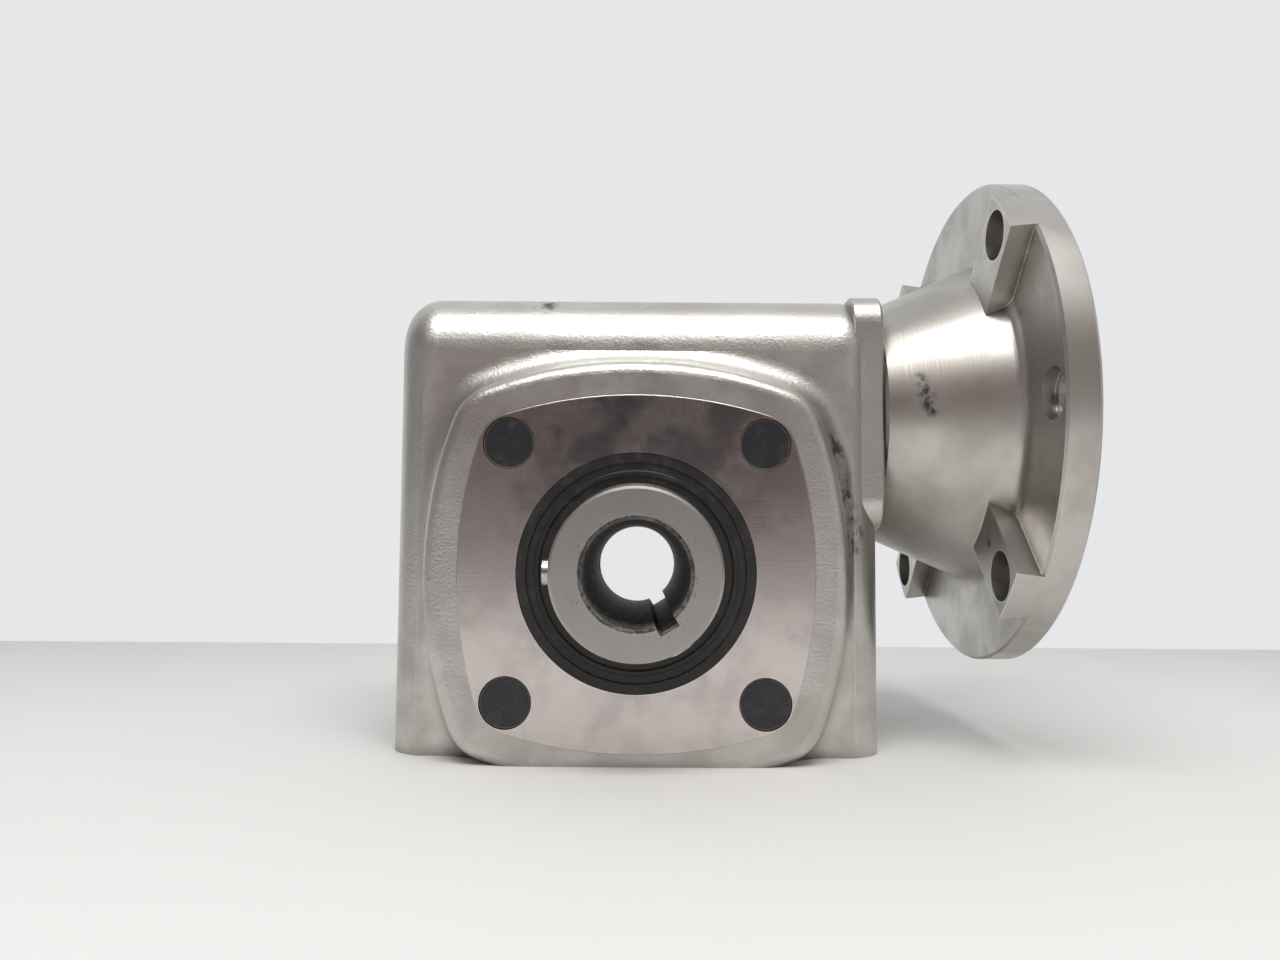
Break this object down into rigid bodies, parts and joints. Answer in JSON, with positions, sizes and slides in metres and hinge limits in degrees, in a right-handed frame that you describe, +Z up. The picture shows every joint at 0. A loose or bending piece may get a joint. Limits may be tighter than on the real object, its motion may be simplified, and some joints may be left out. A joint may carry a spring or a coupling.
{
  "type": "worm gear reducer",
  "caption": "Hollow-bore worm gear reducer with a square flanked housing, squircle side covers and a bell adapter for a C-face motor.",
  "frame": {"origin": "on the output axis, midway between the two output shaft ends", "axes": "+X along the input axis towards the motor flange, +Y along the output axis towards the rear cover, +Z up from the mounting base"},
  "size_m": [0.2066, 0.1668, 0.1938],
  "materials": {
    "cast_stainless": "bead-blasted stainless casting",
    "adapter_cast": "stainless casting, satin",
    "machined_cover": "face-milled stainless",
    "gasket": "sheet gasket",
    "fastener_steel": "stainless fasteners",
    "set_screw_steel": "stainless cup-point screws",
    "plug_rubber": "matt black rubber",
    "seal_rubber": "black nitrile rubber",
    "spring_steel": "spring steel",
    "bearing_steel": "ground bearing steel",
    "cage_brass": "brass cage",
    "shaft_steel": "turned stainless, light rust specks",
    "worm_steel": "ground alloy steel",
    "wheel_bronze": "cast bronze",
    "key_steel": "bright key steel"
  },
  "bodies": {
    "casing": {"housing": "cast_stainless", "front_cover": "machined_cover", "rear_cover": "machined_cover", "front_cover_gasket": "gasket", "rear_cover_gasket": "gasket", "front_cover_screws": "fastener_steel", "rear_cover_screws": "fastener_steel", "front_screw_plugs": "plug_rubber", "rear_screw_plugs": "plug_rubber", "front_output_seal": "seal_rubber", "rear_output_seal": "seal_rubber", "front_seal_spring": "spring_steel", "rear_seal_spring": "spring_steel", "front_bearing_outer_ring": "bearing_steel", "rear_bearing_outer_ring": "bearing_steel", "input_bearing_outer_ring": "bearing_steel", "tail_bearing_outer_ring": "bearing_steel", "input_seal": "seal_rubber", "input_seal_spring": "spring_steel", "bore_retaining_ring": "spring_steel", "motor_adapter": "adapter_cast", "adapter_gasket": "gasket", "adapter_screws": "fastener_steel", "oil_fill_plug": "fastener_steel", "oil_drain_plug": "fastener_steel"},
    "output": {"output_shaft": "shaft_steel", "worm_wheel": "wheel_bronze", "wheel_key": "key_steel", "wheel_spacer": "key_steel", "front_bearing_inner_ring": "bearing_steel", "rear_bearing_inner_ring": "bearing_steel", "front_set_screws": "set_screw_steel", "rear_set_screws": "set_screw_steel"},
    "worm": {"worm_shaft": "worm_steel", "input_bearing_inner_ring": "bearing_steel", "tail_bearing_inner_ring": "bearing_steel", "shaft_retaining_ring": "spring_steel"},
    "front_cage": {"front_bearing_balls": "bearing_steel", "front_bearing_cage": "cage_brass"},
    "rear_cage": {"rear_bearing_balls": "bearing_steel", "rear_bearing_cage": "cage_brass"},
    "input_cage": {"input_bearing_balls": "bearing_steel", "input_bearing_cage": "cage_brass"},
    "tail_cage": {"tail_bearing_balls": "bearing_steel", "tail_bearing_cage": "cage_brass"}
  },
  "joints": [
    {"name": "output_spin", "type": "hinge", "parent": "casing", "child": "output", "pos_m": [0, 0, 0], "axis": [0, 1, 0], "continuous": true},
    {"name": "worm_spin", "type": "hinge", "parent": "casing", "child": "worm", "pos_m": [0, 0, 0.0524], "axis": [1, 0, 0], "continuous": true},
    {"name": "front_cage_spin", "type": "hinge", "parent": "casing", "child": "front_cage", "pos_m": [0, 0, 0], "axis": [0, 1, 0], "continuous": true},
    {"name": "rear_cage_spin", "type": "hinge", "parent": "casing", "child": "rear_cage", "pos_m": [0, 0, 0], "axis": [0, 1, 0], "continuous": true},
    {"name": "input_cage_spin", "type": "hinge", "parent": "casing", "child": "input_cage", "pos_m": [0, 0, 0.0524], "axis": [1, 0, 0], "continuous": true},
    {"name": "tail_cage_spin", "type": "hinge", "parent": "casing", "child": "tail_cage", "pos_m": [0, 0, 0.0524], "axis": [1, 0, 0], "continuous": true}
  ],
  "couplings": [
    {"joint": "worm_spin", "follows": "output_spin", "ratio": -32},
    {"joint": "front_cage_spin", "follows": "output_spin", "ratio": 0.4481},
    {"joint": "rear_cage_spin", "follows": "output_spin", "ratio": 0.4481},
    {"joint": "input_cage_spin", "follows": "output_spin", "ratio": -12.758},
    {"joint": "tail_cage_spin", "follows": "output_spin", "ratio": -12.295}
  ]
}
